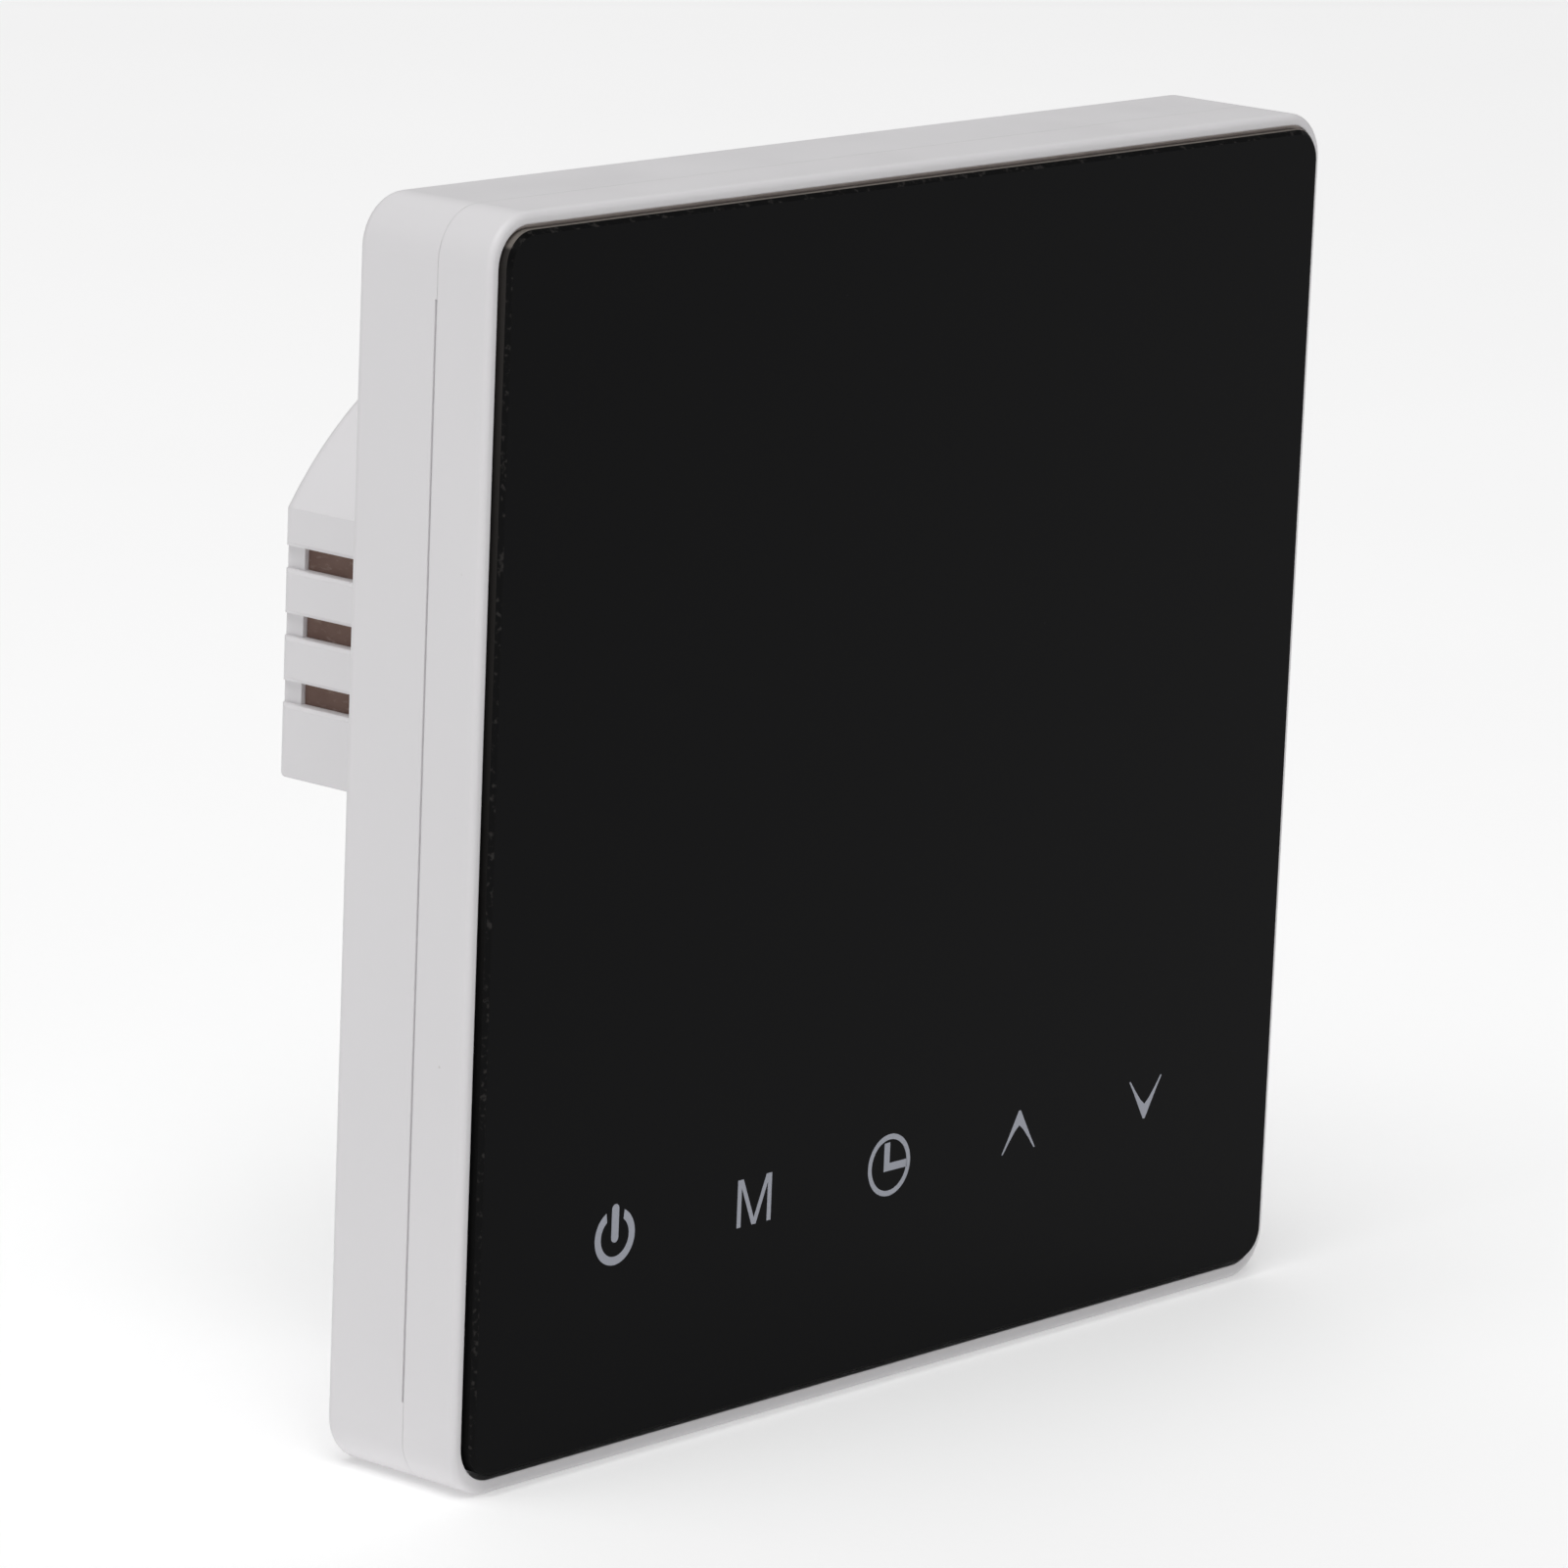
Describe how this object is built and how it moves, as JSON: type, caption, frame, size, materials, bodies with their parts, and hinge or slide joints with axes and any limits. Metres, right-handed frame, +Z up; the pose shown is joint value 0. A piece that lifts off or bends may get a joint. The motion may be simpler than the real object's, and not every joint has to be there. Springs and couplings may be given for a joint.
{
  "type": "wall thermostat",
  "caption": "Square touch wall thermostat: black glass front with printed keys on a white housing, rear box with side vents and screw terminals, front unit that unclips.",
  "frame": {"origin": "centre of the face that lies on the wall", "axes": "+Z up, the glass faces -Y, the rear box goes into the wall along +Y, +X to the right of a person who faces the glass"},
  "size_m": [0.086, 0.0377, 0.086],
  "materials": {
    "white_plastic": "fine moulded texture",
    "label_film": "blank silver-grey film",
    "pressboard": "brown insulating board",
    "circuit_board": "solder mask",
    "plated_steel": "zinc plated",
    "relay_case": "moulded",
    "ferrite": "sintered",
    "black_plastic": "moulded",
    "taped_winding": "yellow polyester tape over copper wire",
    "capacitor_case": "moulded",
    "capacitor_can": "dark shrink sleeve over the can",
    "varistor_coating": "dipped epoxy",
    "resistor_coating": "lacquer",
    "terminal_plastic": "moulded",
    "tinned_brass": "tinned",
    "cage_metal": "nickel plated",
    "black_glass": "polished tempered glass, printed black behind",
    "foam_tape": "double-sided foam tape",
    "sealant": "brown-grey adhesive bead",
    "display_glass": "dark negative display",
    "light_guide": "clear acrylic with white backing",
    "spring_steel": "plated wire",
    "led_resin": "clear resin on white base",
    "cell_steel": "nickel plated",
    "sensor_resin": "epoxy bead"
  },
  "bodies": {
    "rear_unit": {"rear_cover": "white_plastic", "rating_label": "label_film", "board_partition": "white_plastic", "vent_liners": "pressboard", "power_board": "circuit_board", "power_board_screws": "plated_steel", "power_relay": "relay_case", "transformer_core": "ferrite", "transformer_bobbin": "black_plastic", "transformer_winding": "taped_winding", "film_capacitor": "capacitor_case", "electrolytic_capacitors": "capacitor_can", "surge_varistor": "varistor_coating", "fuse_resistor": "resistor_coating", "bridge_rectifier": "black_plastic", "switching_chip": "black_plastic", "header_socket": "black_plastic", "terminal_block": "terminal_plastic", "terminal_contacts": "tinned_brass"},
    "front_unit": {"front_frame": "white_plastic", "glass_panel": "black_glass", "glass_adhesive": "foam_tape", "glass_bead": "sealant", "lcd_cell": "display_glass", "lcd_backlight": "light_guide", "lcd_holder": "white_plastic", "control_board": "circuit_board", "control_board_screws": "plated_steel", "touch_springs": "spring_steel", "key_leds": "led_resin", "controller_chip": "black_plastic", "display_driver_chip": "black_plastic", "backup_cell": "cell_steel", "buzzer": "black_plastic", "room_sensor": "sensor_resin", "pin_header": "black_plastic"},
    "terminal_screw_1": {"terminal_screw_1": "plated_steel"},
    "terminal_screw_2": {"terminal_screw_2": "plated_steel"},
    "terminal_screw_3": {"terminal_screw_3": "plated_steel"},
    "terminal_screw_4": {"terminal_screw_4": "plated_steel"},
    "terminal_screw_5": {"terminal_screw_5": "plated_steel"},
    "terminal_screw_6": {"terminal_screw_6": "plated_steel"},
    "terminal_screw_7": {"terminal_screw_7": "plated_steel"},
    "terminal_screw_8": {"terminal_screw_8": "plated_steel"},
    "clamp_cage_1": {"clamp_cage_1": "cage_metal"},
    "clamp_cage_2": {"clamp_cage_2": "cage_metal"},
    "clamp_cage_3": {"clamp_cage_3": "cage_metal"},
    "clamp_cage_4": {"clamp_cage_4": "cage_metal"},
    "clamp_cage_5": {"clamp_cage_5": "cage_metal"},
    "clamp_cage_6": {"clamp_cage_6": "cage_metal"},
    "clamp_cage_7": {"clamp_cage_7": "cage_metal"},
    "clamp_cage_8": {"clamp_cage_8": "cage_metal"}
  },
  "joints": [
    {"name": "front_unit_release", "type": "slide", "parent": "rear_unit", "child": "front_unit", "axis": [0, -1, 0], "range_m": [0, 0.03]},
    {"name": "screw_turn_1", "type": "hinge", "parent": "rear_unit", "child": "terminal_screw_1", "pos_m": [-0.0175, 0.013, -0.0131], "axis": [0, -1, 0], "range_deg": [0, 1440]},
    {"name": "cage_rise_1", "type": "slide", "parent": "rear_unit", "child": "clamp_cage_1", "axis": [0, 1, 0], "range_m": [0, 0.002]},
    {"name": "screw_turn_2", "type": "hinge", "parent": "rear_unit", "child": "terminal_screw_2", "pos_m": [-0.0125, 0.013, -0.0131], "axis": [0, -1, 0], "range_deg": [0, 1440]},
    {"name": "cage_rise_2", "type": "slide", "parent": "rear_unit", "child": "clamp_cage_2", "axis": [0, 1, 0], "range_m": [0, 0.002]},
    {"name": "screw_turn_3", "type": "hinge", "parent": "rear_unit", "child": "terminal_screw_3", "pos_m": [-0.0075, 0.013, -0.0131], "axis": [0, -1, 0], "range_deg": [0, 1440]},
    {"name": "cage_rise_3", "type": "slide", "parent": "rear_unit", "child": "clamp_cage_3", "axis": [0, 1, 0], "range_m": [0, 0.002]},
    {"name": "screw_turn_4", "type": "hinge", "parent": "rear_unit", "child": "terminal_screw_4", "pos_m": [-0.0025, 0.013, -0.0131], "axis": [0, -1, 0], "range_deg": [0, 1440]},
    {"name": "cage_rise_4", "type": "slide", "parent": "rear_unit", "child": "clamp_cage_4", "axis": [0, 1, 0], "range_m": [0, 0.002]},
    {"name": "screw_turn_5", "type": "hinge", "parent": "rear_unit", "child": "terminal_screw_5", "pos_m": [0.0025, 0.013, -0.0131], "axis": [0, -1, 0], "range_deg": [0, 1440]},
    {"name": "cage_rise_5", "type": "slide", "parent": "rear_unit", "child": "clamp_cage_5", "axis": [0, 1, 0], "range_m": [0, 0.002]},
    {"name": "screw_turn_6", "type": "hinge", "parent": "rear_unit", "child": "terminal_screw_6", "pos_m": [0.0075, 0.013, -0.0131], "axis": [0, -1, 0], "range_deg": [0, 1440]},
    {"name": "cage_rise_6", "type": "slide", "parent": "rear_unit", "child": "clamp_cage_6", "axis": [0, 1, 0], "range_m": [0, 0.002]},
    {"name": "screw_turn_7", "type": "hinge", "parent": "rear_unit", "child": "terminal_screw_7", "pos_m": [0.0125, 0.013, -0.0131], "axis": [0, -1, 0], "range_deg": [0, 1440]},
    {"name": "cage_rise_7", "type": "slide", "parent": "rear_unit", "child": "clamp_cage_7", "axis": [0, 1, 0], "range_m": [0, 0.002]},
    {"name": "screw_turn_8", "type": "hinge", "parent": "rear_unit", "child": "terminal_screw_8", "pos_m": [0.0175, 0.013, -0.0131], "axis": [0, -1, 0], "range_deg": [0, 1440]},
    {"name": "cage_rise_8", "type": "slide", "parent": "rear_unit", "child": "clamp_cage_8", "axis": [0, 1, 0], "range_m": [0, 0.002]}
  ],
  "couplings": [
    {"joint": "screw_turn_1", "follows": "cage_rise_1", "rad_per_m": 12566},
    {"joint": "screw_turn_2", "follows": "cage_rise_2", "rad_per_m": 12566},
    {"joint": "screw_turn_3", "follows": "cage_rise_3", "rad_per_m": 12566},
    {"joint": "screw_turn_4", "follows": "cage_rise_4", "rad_per_m": 12566},
    {"joint": "screw_turn_5", "follows": "cage_rise_5", "rad_per_m": 12566},
    {"joint": "screw_turn_6", "follows": "cage_rise_6", "rad_per_m": 12566},
    {"joint": "screw_turn_7", "follows": "cage_rise_7", "rad_per_m": 12566},
    {"joint": "screw_turn_8", "follows": "cage_rise_8", "rad_per_m": 12566}
  ]
}
